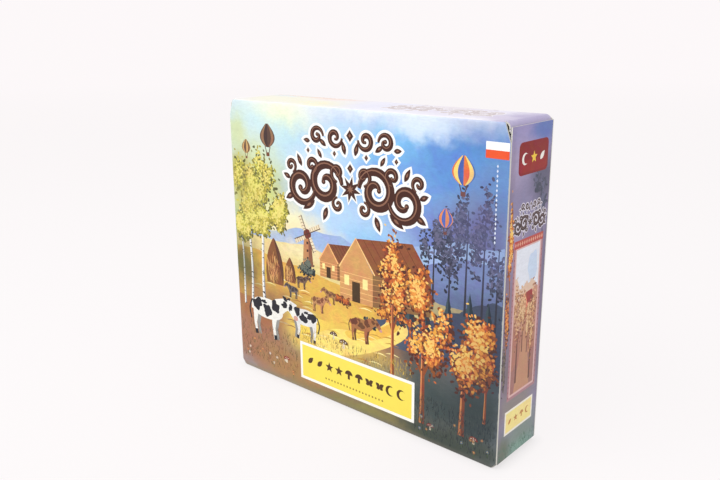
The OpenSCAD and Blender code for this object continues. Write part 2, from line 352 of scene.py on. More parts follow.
FRONT_DAUBS = [
    (100, 10, 170, 84, (140, 120, 92)), (20, 60, 60, 60, (176, 140, 84)), (30, 165, 75, 40, (196, 230, 230)),
    (50, 176, 46, 18, (240, 248, 206)), (120, 180, 70, 12, (226, 234, 252)), (20, 150, 42, 34, (208, 232, 240)),
    (95, 150, 66, 46, (186, 218, 248)), (140, 158, 50, 28, (128, 190, 240)), (138, 136, 56, 32, (112, 160, 224)),
    (172, 158, 40, 34, (98, 146, 214)), (196, 150, 22, 52, (104, 146, 200)), (165, 112, 44, 34, (116, 132, 200)),
    (186, 118, 34, 44, (108, 110, 158)), (178, 92, 44, 22, (100, 104, 150)), (90, 112, 64, 36, (182, 214, 246)),
    (120, 104, 36, 20, (150, 196, 240)), (70, 140, 30, 22, (222, 236, 246)), (20, 122, 44, 46, (214, 216, 106)),
    (8, 132, 18, 30, (188, 178, 96)), (50, 108, 40, 20, (250, 240, 196)), (66, 96, 42, 22, (250, 226, 178)),
    (12, 88, 30, 26, (128, 168, 70)), (8, 70, 28, 22, (70, 96, 62)), (36, 72, 34, 18, (128, 132, 110)),
    (60, 80, 40, 14, (226, 180, 86)), (176, 78, 54, 34, (84, 90, 112)), (192, 62, 40, 48, (70, 78, 92)),
    (92, 58, 52, 34, (240, 196, 84)), (70, 44, 50, 28, (248, 214, 96)), (104, 44, 44, 24, (232, 190, 92)),
    (20, 44, 38, 34, (168, 108, 66)), (14, 20, 44, 30, (170, 118, 92)), (48, 12, 52, 20, (174, 132, 88)),
    (130, 62, 30, 26, (176, 118, 78)), (150, 50, 34, 26, (104, 90, 82)), (160, 26, 46, 32, (70, 82, 82)),
    (188, 26, 38, 46, (58, 68, 70)), (122, 28, 30, 18, (150, 140, 104)), (168, 5, 74, 12, (70, 78, 70)),
    (190, 172, 32, 18, (84, 134, 200)), (148, 174, 34, 12, (206, 226, 250)), (4, 160, 20, 18, (208, 220, 176)),
    (100, 2, 60, 9, (142, 134, 84)),
]
BACK_DAUBS = [
    (100, 10, 170, 84, (132, 124, 88)), (40, 160, 80, 44, (150, 196, 236)), (110, 168, 80, 30, (198, 226, 244)),
    (175, 158, 60, 44, (206, 228, 214)), (100, 132, 90, 34, (182, 214, 242)), (170, 118, 60, 40, (214, 222, 150)),
    (30, 118, 50, 34, (128, 148, 204)), (90, 100, 90, 22, (240, 228, 176)), (30, 84, 50, 34, (98, 112, 120)),
    (150, 82, 60, 26, (226, 190, 104)), (190, 70, 40, 44, (120, 150, 76)), (80, 60, 60, 30, (216, 186, 100)),
    (140, 46, 60, 30, (188, 150, 84)), (24, 40, 50, 44, (82, 98, 88)), (90, 24, 70, 24, (126, 132, 84)),
    (176, 20, 60, 30, (142, 106, 74)), (100, 2, 130, 10, (96, 100, 76)),
]
END_DAUBS = [
    (20, 172, 40, 18, (160, 150, 196)), (32, 174, 20, 12, (104, 122, 186)), (10, 158, 20, 18, (172, 158, 190)),
    (22, 138, 34, 24, (142, 134, 168)), (34, 148, 18, 18, (100, 96, 120)), (8, 122, 14, 18, (166, 150, 182)),
    (30, 110, 26, 22, (134, 122, 150)), (20, 84, 34, 34, (146, 120, 132)), (20, 52, 34, 30, (126, 106, 106)),
    (16, 32, 30, 14, (142, 132, 130)), (24, 12, 34, 18, (128, 142, 136)), (22, 3, 36, 10, (132, 164, 152)),
    (5, 8, 12, 16, (108, 116, 102)), (2, 90, 5, 120, (126, 108, 126, 0.6)),
    (40, 90, 5, 120, (112, 104, 130, 0.5)),
]
# The top's tones are its pale print, made paler still as painted highlight for the strong light from above.
TOP_DAUBS = [
    (24, 20, 44, 40, (244, 242, 220)), (70, 12, 44, 24, (246, 242, 208)), (60, 36, 34, 12, (244, 226, 218)),
    (110, 20, 50, 34, (230, 230, 246)), (160, 24, 44, 34, (224, 218, 238)), (199, 20, 24, 60, (178, 168, 204)),
    (186, 12, 14, 14, (204, 194, 220)), (140, 34, 30, 12, (228, 220, 228)), (20, 36, 26, 10, (226, 238, 240)),
]
BOTTOM_DAUBS = [
    (30, 20, 60, 40, (146, 112, 84)), (90, 24, 60, 34, (150, 140, 96)), (150, 18, 60, 40, (96, 104, 86)),
    (190, 22, 40, 40, (78, 88, 86)), (60, 6, 60, 12, (168, 140, 88)), (120, 36, 60, 12, (118, 110, 80)),
]


def bare_board(name, inner, tint=None):
    """White-lined board without print; a tint is the end's ink, wrapped over the crease at a flap's root."""
    material, shader, position = new_material(name)
    board = use(FIBRE, Position=position, Color=ink(*inner), Flecks=0.35)
    colour = board["Color"]
    if tint:
        near = noise(position, 420.0, 3.0) * (1.6 * MM) + abs(parts_of(position)[0])
        colour = blend(ramp(near, TINT_FROM * MM, TINT_FULL * MM), colour, ink(*tint))
    height = noise(position, 60.0) * 0.8 + board["Height"] * 0.25
    surface(shader, colour, 0.82, height, 0.45, 0.08, Specular_IOR_Level=0.3)
    return material


def dust_flap_board():
    """Dust flap: the end's lavender on its outer face, fading along the flap to bare board."""
    material, shader, position = new_material("dust_flap_board")
    place = sheet_place(position, Y_BACK, Z_UP)
    rise = parts_of(position)[2]
    from_middle = abs(rise - HEIGHT / 2 * MM) - noise(place, 0.5, 3.0) * (2.0 * MM)
    tone = blend(ramp(rise, 60 * MM, 120 * MM), ink(96, 122, 110), ink(176, 170, 220))
    printed = use(BRUSHWORK, Place=place, Color=tone, Strength=0.22)["Color"]
    mask = side_mask(position, ["roll"]) * ramp(from_middle, BLEED_FROM * MM, BLEED_FULL * MM)
    finish_board(shader, position, place, printed, mask, 2)
    return material


def insert_card():
    """Folded insert card: cream uncoated card with faint lines along its length."""
    material, shader, position = new_material("insert_card_stock")
    card = use(FIBRE, Position=position, Color=ink(238, 232, 218), Flecks=0.5)
    lines = noise(mapped(position, (0.02, 1.0, 1.0)), 900.0)
    shade = brightened(card["Color"], spread(lines, 0.3, 0.7, 0.97, 1.02))
    surface(shader, shade, 0.88, lines * 0.3 + card["Height"] * 0.3, 0.5, 0.08)
    return material


def leaflet_paper():
    """Leaflet: white paper with pale printed panels showing."""
    material, shader, position = new_material("leaflet_sheet")
    paper = use(FIBRE, Position=position, Color=ink(246, 245, 240), Flecks=0.1)
    panels = tiled(sheet_place(position, X_RIGHT, Z_UP), ink(222, 232, 238), ink(240, 230, 206),
                   ink(247, 246, 242), 0.028, 0.05, 0.62)
    surface(shader, blend(0.75, paper["Color"], panels, "MULTIPLY"), 0.7, paper["Height"], 0.4, 0.05)
    return material


def tile_board():
    """Picture tile: grey board edges with white paper lines, and a woven blue-green lattice on its faces."""
    material, shader, position = new_material("tile_stock")
    face = spread(face_axis(position, 1), 0.5, 0.9)
    slanted = mapped(sheet_place(position, X_RIGHT, Z_UP), turn=math.pi / 4)
    lattice = tiled(slanted, ink(92, 150, 168), ink(78, 128, 156), ink(226, 232, 214), 0.16, 0.07, 0.9)
    within = maths("FRACT", (parts_of(position)[1] * (1 / MM) - STACK_BACK) / TILE_PITCH)
    lined = spread(abs(within - 0.5), 0.40, 0.44)
    grey = use(FIBRE, Position=position, Color=ink(176, 170, 158), Flecks=0.6)
    edge = blend(lined, grey["Color"], LINING)
    surface(shader, blend(face, edge, lattice), spread(face, 0.0, 1.0, 0.85, 0.32), grey["Height"] * (1.0 - face),
            0.5, 0.1)
    return material


def dress_nodes():
    """Gives every CAD node its finish."""
    sleeve, folded = ["sleeve"], ["sleeve", "roll"]
    finishes = {
        # Front and back: the top strip is paled as painted highlight, and the foot is darkened as painted shade.
        "front_panel": printed_board("front_print", X_RIGHT, Z_UP, sleeve, (170, 190, 214), FRONT_DAUBS,
                                     painted_top_highlight=(164, 186, (250, 246, 250)), foot=((152, 138, 114), (92, 94, 88))),
        "back_panel": printed_board("back_print", X_LEFT, Z_UP, sleeve, (180, 196, 206), BACK_DAUBS,
                                    painted_top_highlight=(168, 188, (244, 242, 244)), foot=((110, 108, 84), (120, 112, 88))),
        # The top's near-white ground is partly its pale print and partly painted highlight from the light above.
        "top_panel": printed_board("top_print", X_RIGHT, Y_BACK, folded, (240, 238, 246), TOP_DAUBS, 0.12),
        "bottom_panel": printed_board("bottom_print", X_RIGHT, Y_FRONT, folded, (120, 112, 86), BOTTOM_DAUBS),
        "glue_flap": bare_board("glue_flap_board", (240, 238, 232)),
        "card_insert": insert_card(),
        "rules_leaflet": leaflet_paper(),
    }
    tuck = bare_board("tuck_flap_board", (243, 241, 236), (150, 146, 176))
    dust, tiles = dust_flap_board(), tile_board()
    for side, across in (("right", Y_BACK), ("left", Y_FRONT)):
        finishes[side + "_closure"] = printed_board(side + "_end_print", across, Z_UP, ["end"], (146, 136, 168),
                                                    END_DAUBS, warp=5.0)
        finishes[side + "_tuck_flap"] = tuck
        finishes[side + "_top_dust_flap"] = finishes[side + "_bottom_dust_flap"] = dust
    for stack in range(1, 7):
        finishes["tile_stack_" + str(stack)] = tiles
    for name, material in finishes.items():
        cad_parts[name].data.materials.clear()
        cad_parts[name].data.materials.append(material)


dress_nodes()


# ---------------------------------------------------------------- printed shapes

LAYER = 0.0006
UNDERSIDE = 0.01
TAU = 2 * math.pi

WIDE_SIDE, END_SIDE, TOP_SIDE = (0.2, 1.5, 199.8, 178.5), (0.5, 2.8, 40.5, 177.2), (4.5, 1.6, 195.5, 39.4)
FACES = {
    "front": (X_RIGHT, Z_UP, (1, -1, -DEPTH / 2), WIDE_SIDE),
    "back": (X_LEFT, Z_UP, (1, 1, -DEPTH / 2), WIDE_SIDE),
    "right_end": (Y_BACK, Z_UP, (0, 1, -WIDTH / 2), END_SIDE),
    "left_end": (Y_FRONT, Z_UP, (0, -1, -WIDTH / 2), END_SIDE),
    "top": (X_RIGHT, Y_BACK, (2, 1, -HEIGHT), TOP_SIDE),
}


class Picture:
    """Printed shapes of one side in order of printing: blocks of (shapes, corner, 2) in one colour and layer."""

    def __init__(self, seed):
        self.rng = np.random.default_rng(seed)
        self.blocks = []

    def put(self, shapes, tone, layer):
        """Adds shapes, or one shape of (corner, 2), in a colour and a layer of the printing order."""
        shapes = np.asarray(shapes, float)
        self.blocks.append((shapes if shapes.ndim == 3 else shapes[None], ink(*tone), layer))

    def line(self, points, widths, tone, layer):
        """Adds a band along points."""
        self.put(strip(points, widths), tone, layer)

    def box(self, u0, v0, u1, v1, tone, layer, radius=0.0):
        """Adds a box."""
        self.put(box_shape(u0, v0, u1, v1, radius), tone, layer)

    def hills(self, u0, u1, *rows):
        """Adds hills, each given by its left and right height, swing, foot, colour and layer."""
        for left, right, swing, foot, tone, layer in rows:
            self.put(ridge(self.rng, u0, u1, left, right, swing, foot), tone, layer)


def toned(tone, share):
    """A colour made darker."""
    return tuple(share * c for c in tone)


def smooth_path(points, steps=8):
    """A curve through points: each span is the cubic whose end slopes are half the chord over both neighbours."""
    points = np.asarray(points, float)
    before = np.vstack([2 * points[0] - points[1], points[:-1]])
    after = np.vstack([points[1:], 2 * points[-1] - points[-2]])
    slopes = (after - before) / 2
    t = np.linspace(0, 1, steps, endpoint=False)[None, :, None]
    a, b, m, n = points[:-1, None], points[1:, None], slopes[:-1, None], slopes[1:, None]
    spans = ((2 * t**3 - 3 * t**2 + 1) * a + (t**3 - 2 * t**2 + t) * m
             + (3 * t**2 - 2 * t**3) * b + (t**3 - t**2) * n)
    return np.vstack([spans.reshape(-1, 2), points[-1:]])


def strip(path, widths):
    """A band along a path: the path moved half a width to each side of its direction."""
    path = np.asarray(path, float)
    slope = np.gradient(path, axis=0)
    slope /= np.maximum(np.linalg.norm(slope, axis=1, keepdims=True), 1e-9)
    side = np.stack([-slope[:, 1], slope[:, 0]], 1) * np.broadcast_to(widths, len(path))[:, None] / 2
    return np.vstack([path + side, (path - side)[::-1]])


def turned(u, v, x, y, turn):
    """Offsets x and y turned by an angle round a place."""
    return np.stack([u + x * np.cos(turn) - y * np.sin(turn), v + x * np.sin(turn) + y * np.cos(turn)], -1)


def arc(u, v, wide, high, angle):
    """Points of an ellipse at some angles."""
    return np.stack([u + wide * np.cos(angle), v + high * np.sin(angle)], -1)


def box_shape(u0, v0, u1, v1, radius=0.0, steps=4):
    """A rectangle, its corners rounded by quarter circles where a radius is given."""
    if radius == 0.0:
        return np.array([(u0, v0), (u1, v0), (u1, v1), (u0, v1)], float)
    left, low, right, high = u0 + radius, v0 + radius, u1 - radius, v1 - radius
    angle = np.linspace(0, TAU / 4, steps + 1)
    return np.vstack([arc(u, v, radius, radius, angle + k * TAU / 4)
                      for k, (u, v) in enumerate(((right, high), (left, high), (left, low), (right, low)))])


def blot(rng, u, v, wide, high, corners, rough):
    """A rough round shape: an ellipse whose radius is 1 plus a few slow waves of random phase."""
    angle = np.linspace(0, TAU, corners, endpoint=False)
    waves = np.arange(2, 7)[:, None]
    radius = 1 + rough * (np.sin(waves * angle + rng.uniform(0, TAU, (5, 1))) / np.sqrt(waves)).sum(0)
    return arc(u, v, wide * radius, high * radius, angle)


def dabs(rng, places, wide, high, corners=6, rough=0.3, turn=None):
    """A brush dab at each place: an ellipse with a random radius at each corner, turned at random or by turn."""
    places = np.asarray(places, float)
    angle = np.linspace(0, TAU, corners, endpoint=False)[None]
    radius = (1 + rough * rng.uniform(-1, 1, (len(places), corners))) * rng.uniform(0.7, 1.2, (len(places), 1))
    each = (len(places), 1)
    tilt = rng.uniform(0, math.pi, each) if turn is None else turn + rng.normal(0, 0.2, each)
    x, y = wide * radius * np.cos(angle), high * radius * np.sin(angle)
    return turned(places[:, :1], places[:, 1:], x, y, tilt)


def leaf_shape(u, v, length, breadth, turn):
    """A pointed leaf: half width breadth times sine to the power 0.8 along its length, turned by an angle."""
    t = np.linspace(0, 1, 9)
    half = breadth / 2 * np.sin(math.pi * t) ** 0.8 * (1.15 - 0.4 * t)
    return turned(u, v, np.hstack([t, t[-2:0:-1]]) * length, np.hstack([half, -half[-2:0:-1]]), turn)


def star_shape(points, outer, inner, start=0.0):
    """A star about the origin with its first point up, turned by start."""
    angle = np.linspace(0, TAU, 2 * points, endpoint=False) + start
    reach = np.where(np.arange(2 * points) % 2 == 0, outer, inner)
    return np.stack([reach * np.sin(angle), reach * np.cos(angle)], 1)


def diamond(wide, high):
    """A diamond about the origin with these half sizes."""
    return np.array([(-wide, 0), (0, -high), (wide, 0), (0, high)])


def ridge(rng, u0, u1, left, right, swing, foot):
    """A hill line from left to right height with slow and quick waves, closed down to its foot."""
    u = np.linspace(u0, u1, 44)
    t = (u - u0) / (u1 - u0)
    waves = np.array([1.3, 2.6, 5.1, 11.0, 23.0])[:, None]
    swell = (np.sin(waves * TAU * t + rng.uniform(0, TAU, (5, 1))) / waves).sum(0)
    top = left + (right - left) * t + swing * swell
    return np.vstack([np.stack([u, top], 1), [(u1, foot), (u0, foot)]])


def scatter(rng, u0, u1, v0, v1, count):
    """Places at random in a box."""
    return np.stack([rng.uniform(u0, u1, count), rng.uniform(v0, v1, count)], 1)


def foliage(picture, layer, u, v, wide, high, leaf, tones, count, lobes=7):
    """A crown of leaf dabs gathered round lobes; each lighter tone sits higher and further to the lit left."""
    rng = picture.rng
    angle, reach = rng.uniform(0, TAU, lobes), np.sqrt(rng.uniform(0.05, 1, lobes)) * 0.72
    centres = np.stack([np.cos(angle) * reach * wide, np.sin(angle) * reach * high], 1)
    for step, tone in enumerate(tones):
        light = step / max(len(tones) - 1, 1)
        number = int(count * (1.15 - 0.6 * light))
        chosen = centres[rng.integers(0, lobes, number)]
        spread_by = np.array([wide, high]) * (0.44 - 0.14 * light)
        shift = light * np.array([-0.1 * wide, 0.13 * high])
        places = chosen + rng.normal(0, 0.5, (number, 2)) * spread_by + shift
        long = leaf * (1 - 0.2 * light)
        picture.put(dabs(rng, places + (u, v), long, 0.6 * long), tone, layer + step)


def trunk(picture, layer, points, wide, narrow, tones):
    """A tapering trunk or branch: a band in the first tone with a thinner lit band in the second."""
    path = smooth_path(points)
    widths = np.linspace(wide, narrow, len(path))
    picture.line(path, widths, tones[0], layer)
    if len(tones) > 1:
        picture.line(path - np.array([0.22 * wide, 0]), widths * 0.34, tones[1], layer + 1)


def autumn_tree(picture, layer, u, v, tall, wide, tones, bark, leaf, count):
    """A forked trunk with side branches under a crown of dabs."""
    lean = picture.rng.uniform(-2, 2)
    trunk(picture, layer, [(u, v), (u + lean * 0.4, v + tall * 0.3), (u + lean, v + tall * 0.72)], wide * 0.15,
          wide * 0.05, bark)
    for side in (-1, 1):
        trunk(picture, layer, [(u + lean * 0.4, v + tall * 0.34), (u + side * wide * 0.25, v + tall * 0.52),
                               (u + side * wide * 0.36, v + tall * 0.7)], wide * 0.07, wide * 0.025, bark[:1])
    foliage(picture, layer + 2, u + lean, v + tall * 0.68, wide * 0.62, tall * 0.36, leaf, tones, count)


def birch(picture, layer, points, wide):
    """A birch trunk: white bark, a grey shaded side and black marks across it."""
    rng = picture.rng
    path = smooth_path(points)
    widths = np.linspace(wide, wide * 0.55, len(path))
    picture.line(path, widths, (244, 243, 238), layer)
    picture.line(path + np.array([0.3 * wide, 0]), widths * 0.36, (150, 152, 160), layer + 1)
    marks = path[rng.integers(0, len(path), 26)] + rng.normal(0, 0.22 * wide, (26, 2)) * (1, 2.5)
    picture.put(dabs(rng, marks, 0.36 * wide, 0.13 * wide, 6, 0.3, 0.0), (34, 34, 40), layer + 2)


def pine(picture, layer, u, v, tall, wide, tones):
    """A pine of six saw-edged tiers, each tier a dark fan with a lighter left half."""
    for step in range(6):
        low = v + tall * (0.12 + 0.75 * step / 6)
        half = wide / 2 * (1 - 0.8 * step / 6)
        saw = low - 0.05 * tall * (np.arange(9) % 2) + picture.rng.uniform(-0.2, 0.2, 9)
        foot = np.stack([u + half * np.linspace(-1, 1, 9), saw], 1)
        peak = low + tall * 0.27
        picture.put(np.vstack([foot, [(u, peak)]]), tones[0], layer)
        picture.put(np.vstack([foot[:5] + (0, 0.1), [(u - 0.05 * half, peak)]]), tones[1], layer + 1)


def balloon(picture, layer, u, v, radius, tones):
    """A hot-air balloon: six gores between meridians of a pear profile, ropes and a basket."""
    t = np.linspace(0, 1, 15)
    profile = np.sin(math.pi * (0.04 + 0.9 * t) ** 0.82) * radius
    rise = v - 0.95 * radius + t * 2.15 * radius
    across = np.sin(np.linspace(-math.pi / 2, math.pi / 2, 7))
    for k in range(6):
        left, right = (np.stack([u + edge * profile, rise], 1) for edge in across[k:k + 2])
        picture.put(np.vstack([left, right[::-1]]), tones[k % len(tones)], layer)
    for side in (-radius, radius):
        picture.line([(u + 0.34 * side, v - 0.9 * radius), (u + 0.16 * side, v - 1.45 * radius)], 0.09 * radius,
                     (90, 66, 56), layer)
    basket = box_shape(-0.22, -1.78, 0.22, -1.42, 0.06, 2) * radius + (u, v)
    picture.put(basket, (120, 74, 48), layer)


def timber_house(picture, layer, u, v, wide, tall, deep, wall, roof):
    """A plank house seen from a corner: gable, side wall, roof slope, plank lines, door and windows."""
    glow = tuple(min(255, 1.22 * c + 14) for c in wall)
    lift = 0.1 * deep
    eave, peak, middle, corner, end = v + tall * 0.52, v + tall, u + wide / 2, u + wide, u + wide + deep
    picture.put([(u, v), (corner, v), (corner, eave), (middle, peak), (u, eave)], wall, layer)
    picture.put([(corner, v), (end, v + lift), (end, eave + lift), (corner, eave)], toned(wall, 0.66), layer)
    picture.put([(middle, peak), (u + wide * 1.06, eave - 0.6), (corner + deep * 1.04, eave + lift - 0.6),
                 (middle + deep, peak + lift)], roof, layer + 1)
    for k in range(1, 6):
        level = v + (eave - v) * k / 6
        picture.line([(u, level), (corner, level)], 0.3, glow, layer + 1)
        picture.line([(corner, level), (end, level + lift)], 0.3, wall, layer + 1)
    for k in range(1, 7):
        over, rise = deep * k / 7, lift * k / 7
        picture.line([(u + wide * 1.06 + over, eave + rise - 0.5), (middle + over, peak + rise - 0.2)], 0.28,
                     toned(roof, 0.7), layer + 2)
    picture.line([(u - 0.5, eave - 0.6), (middle, peak + 0.1), (u + wide * 1.06, eave - 0.8)], 0.9, glow,
                 layer + 3)
    picture.box(u + wide * 0.38, v, u + wide * 0.62, v + tall * 0.32, toned(wall, 0.36), layer + 2)
    for spot in (0.14, 0.7):
        picture.box(u + wide * spot, v + tall * 0.24, u + wide * (spot + 0.15), v + tall * 0.4, (255, 236, 158),
                    layer + 2)
    for k in range(3):
        side = corner + deep * (0.16 + 0.28 * k)
        picture.box(side, v + tall * 0.24 + lift * 0.3, side + deep * 0.12, v + tall * 0.38 + lift * 0.3,
                    (244, 208, 120), layer + 2)


def hayrick(picture, layer, u, v, wide, tall):
    """A rick of straw: a pointed brown heap with slanting straws, darker to the right."""
    side = np.array([(-0.5, 0), (-0.54, 0.3), (-0.4, 0.66), (-0.12, 0.94), (0, 1), (0.14, 0.92), (0.42, 0.64),
                     (0.54, 0.3), (0.5, 0)]) * (wide, tall) + (u, v)
    picture.put(smooth_path(side, 4), (138, 86, 52), layer)
    picture.put(smooth_path(side[4:], 4), (96, 60, 46), layer + 1)
    for tone, shift in (((196, 138, 82), -0.12), ((112, 70, 48), 0.14), ((222, 170, 106), -0.2)):
        places = scatter(picture.rng, -0.3, 0.3, 0.05, 0.62, 26)
        places[:, 0] += shift * (1 - places[:, 1])
        straws = dabs(picture.rng, places * (wide, tall) + (u, v), 0.28, 0.1 * tall, 6, 0.3, -shift)
        picture.put(straws, tone, layer + 2)


def windmill(picture, layer, u, v, wide, tall, sail):
    """A tapering mill with a cap and four latticed sails."""
    for low, high, tone, step in ((-0.5, -0.3, (196, 140, 96), 0), (0.1, 0.08, (140, 92, 70), 1)):
        wall = np.array([(low * wide, 0), (wide / 2, 0), (wide * 0.3, tall), (high * wide, tall)])
        picture.put(wall + (u, v), tone, layer + step)
    hub = np.array((u, v + tall))
    picture.put(blot(picture.rng, *hub, wide * 0.36, wide * 0.34, 14, 0.02), (118, 62, 50), layer + 2)
    for turn in 0.42 + np.arange(4) * TAU / 4:
        along, over = arc(0, 0, sail, sail, turn), arc(0, 0, sail, sail, turn + TAU / 4)
        picture.line([hub, hub + along], 0.55, (84, 56, 46), layer + 4)
        near, away = hub + along * 0.22, hub + along
        picture.put([near, away, away + over * 0.24, near + over * 0.2], (238, 222, 190), layer + 3)
        for bar in np.linspace(0.3, 0.95, 5):
            picture.line([hub + along * bar, hub + along * bar + over * 0.22], 0.3, (150, 112, 84), layer + 4)
    for k in range(3):
        picture.box(u - wide * 0.1, v + tall * (0.2 + 0.24 * k), u + wide * 0.06, v + tall * (0.28 + 0.24 * k),
                    (70, 48, 44), layer + 2)


def cow(picture, layer, u, v, size, facing, coat=(242, 240, 234), patch=(38, 38, 46)):
    """A grazing cow built from rounded body, neck, head and legs, with dark patches and a pink muzzle."""
    rng = picture.rng

    def limb(points, widths, tone, rise):
        places = [(u + facing * x * size, v + y * size) for x, y in points]
        picture.line(places, np.array(widths) * size, tone, layer + rise)

    def spot(x, y, wide, high, corners, rough, tone, rise):
        shape = blot(rng, u + facing * x * size, v + y * size, wide * size, high * size, corners, rough)
        picture.put(shape, tone, layer + rise)

    shade = toned(coat, 0.62)
    for x, tone, rise in ((-0.3, shade, 0), (0.34, shade, 0), (-0.42, coat, 2), (0.24, coat, 2)):
        limb([(x + 0.02, 0.7), (x - 0.02, 0.3), (x + 0.02, 0.02)], (0.22, 0.1, 0.09), tone, rise)
    spot(0, 0.74, 0.56, 0.26, 26, 0.03, coat, 2)
    limb([(0.38, 0.86), (0.66, 1.0), (0.8, 0.98)], (0.42, 0.3, 0.24), coat, 2)
    limb([(0.68, 1.06), (0.86, 0.9), (0.98, 0.74)], (0.22, 0.2, 0.13), coat, 3)
    spot(0.99, 0.74, 0.075, 0.06, 12, 0.03, (214, 158, 148), 4)
    ear = leaf_shape(facing * 0.72, 1.08, 0.2, 0.1, math.pi * (0.5 + 0.3 * facing))
    picture.put(ear * size + (u, v), patch, layer + 4)
    for row in ((-0.34, 0.8, 0.17, 0.15), (0.02, 0.7, 0.16, 0.14), (0.3, 0.86, 0.13, 0.16),
                (0.62, 0.98, 0.1, 0.08), (-0.1, 0.9, 0.09, 0.05), (0.82, 0.96, 0.06, 0.09)):
        spot(*row, 18, 0.2, patch, 4)
    limb(smooth_path([(-0.54, 0.86), (-0.63, 0.62), (-0.58, 0.36)]), 0.045, patch, 4)
    for x in (-0.42, 0.26):
        limb([(x, 0.12), (x + 0.02, 0.0)], 0.1, patch, 4)


def toadstool(picture, layer, u, v, size, cap):
    """A toadstool: pale stalk, domed cap and light spots."""
    picture.line([(u, v), (u + 0.04 * size, v + 0.6 * size)], np.array([0.34, 0.22]) * size, (238, 224, 196),
                 layer)
    picture.put(arc(u, v + 0.5 * size, 0.62 * size, 0.5 * size, np.linspace(0, math.pi, 12)), cap, layer + 1)
    spots = np.array([(-0.3, 0.68), (0.0, 0.82), (0.28, 0.7), (0.02, 0.6)]) * size + (u, v)
    picture.put(dabs(picture.rng, spots, 0.09 * size, 0.06 * size, 7, 0.15, 0.0), (250, 240, 220), layer + 2)


def flowers(picture, layer, u0, u1, v0, v1, count, tones):
    """Small flowers over a strip of ground: a stem and a ring of petals each."""
    rng = picture.rng
    places = scatter(rng, u0, u1, v0, v1, count)
    picture.put(places[:, None] + [(-0.15, 0), (0.15, 0), (0.1, 3.0), (-0.1, 3.0)], (86, 112, 60), layer)
    for k, tone in enumerate(tones):
        for turn in np.arange(5) * TAU / 5:
            heads = places[k::len(tones)] + (0, 3.2) + arc(0, 0, 0.55, 0.55, turn)
            picture.put(dabs(rng, heads, 0.5, 0.36, 6, 0.1), tone, layer + 1)
    picture.put(dabs(rng, places + (0, 3.2), 0.3, 0.3, 6, 0.1), (250, 214, 90), layer + 2)


def grass(picture, layer, u0, u1, v0, v1, count, tones):
    """Tufts of blades: thin leaning triangles in a few greens."""
    rng = picture.rng
    for k, tone in enumerate(tones):
        foot = scatter(rng, u0, u1, v0, v1, count)
        tip = foot + np.stack([rng.normal(0, 0.7, count), 3.2 * rng.uniform(0.5, 1.1, count)], 1)
        picture.put(np.stack([foot - (0.22, 0), foot + (0.22, 0), tip], 1), tone, layer + k)


def scroll_path(radius, turns, start, hand):
    """A spiral that runs in from its outer radius: radius times (1 - t) to the power 0.8, plus a small eye."""
    t = np.linspace(0, 1, int(26 * turns))
    reach = radius * (0.16 + 0.84 * (1 - t) ** 0.8)
    return arc(0, 0, reach, reach, start + hand * TAU * turns * t), t


def band(picture, layer, path, widths, tone):
    """A curled band in four overlapping stretches, so that no stretch crosses itself."""
    size = math.ceil(len(path) / 4)
    for first in range(0, len(path) - 1, size):
        part = slice(first, first + size + 2)
        picture.line(path[part], widths[part], tone, layer)


SCROLLS = (
    (21, 1, 14, 1.4, math.pi * 0.98, -1, 5.6), (42.5, -3, 12, 1.35, math.pi * 1.05, 1, 5.0),
    (11, 9, 5.6, 1.1, math.pi * 1.5, 1, 3.0), (33, 11.5, 5.6, 1.1, math.pi * 1.5, -1, 3.0),
    (52, 9.5, 4.6, 1.1, math.pi * 1.4, -1, 2.6), (11, -11, 4.6, 1.1, math.pi * 0.5, -1, 2.6),
    (28, 31, 5.6, 1.2, math.pi, -1, 2.9), (12.5, 31, 6.0, 1.2, math.pi, 1, 3.0),
)
LOZENGES = ((0, 33, 3.6), (0, 13, 3.0), (-13, 21, 1.9), (13, 21, 1.9), (-36, 21, 1.8), (36, 21, 1.8))
LEAVES = (
    (31, -11, 13, 5.0, -0.6), (50, -9, 9, 4.4, -0.5), (53, 1, 7, 3.6, 0.4), (20, -14, 10, 4.4, -1.2),
    (42, 10, 9, 3.6, 1.1), (20, 25, 8, 3.4, 0.6), (4, 21, 9, 3.8, 1.3), (34, 27, 6, 3.2, 0.1),
    (24, 17, 7, 3.0, 1.0),
)


def title_ornament(picture, layer, u, v, size, dark, light, rim=(250, 249, 246), edge=1.5):
    """A mirrored band of leaf scrolls round a star, with a row of lozenges and sprigs above it."""
    strokes, solids = [], []
    for side in (-1, 1):
        for du, dv, radius, turns, start, hand, wide in SCROLLS:
            path, t = scroll_path(radius, turns, start, hand)
            path = path * (side, 1) + (side * du, dv)
            strokes.append((path, wide * (0.42 + 0.58 * np.sin(math.pi * np.clip(t * 1.05, 0, 1)) ** 0.7)))
            solids.append(dabs(picture.rng, path[-1:], wide * 0.42, wide * 0.42, 12, 0.0)[0])
        solids += [leaf_shape(0, 0, *form) * (side, 1) + (side * du, dv) for du, dv, *form in LEAVES]
    solids += [diamond(half * 0.8, half) + (du, dv) for du, dv, half in LOZENGES]
    solids.append(star_shape(8, 8.6, 3.8, TAU / 32))
    scale = size / 100.0
    for path, widths in strokes:
        path, widths = path * scale + (u, v), widths * 1.22 * scale
        band(picture, layer, path, widths + 2 * edge, rim)
        band(picture, layer + 1, path, widths, dark)
        band(picture, layer + 2, path + np.array((-0.12, 0.12)) * widths.max(), widths * 0.16, light)
    for shape in solids:
        middle = shape.mean(0)
        out = shape - middle
        far = np.linalg.norm(out, axis=1, keepdims=True)
        grown = middle + out * (1 + (edge * 1.15 / scale) / np.maximum(far, 0.4))
        small = middle + out * 0.35 + (-0.1, 0.12)
        for step, (form, tone) in enumerate(((grown, rim), (shape, dark), (small, light))):
            picture.put(form * scale + (u, v), tone, layer + step)


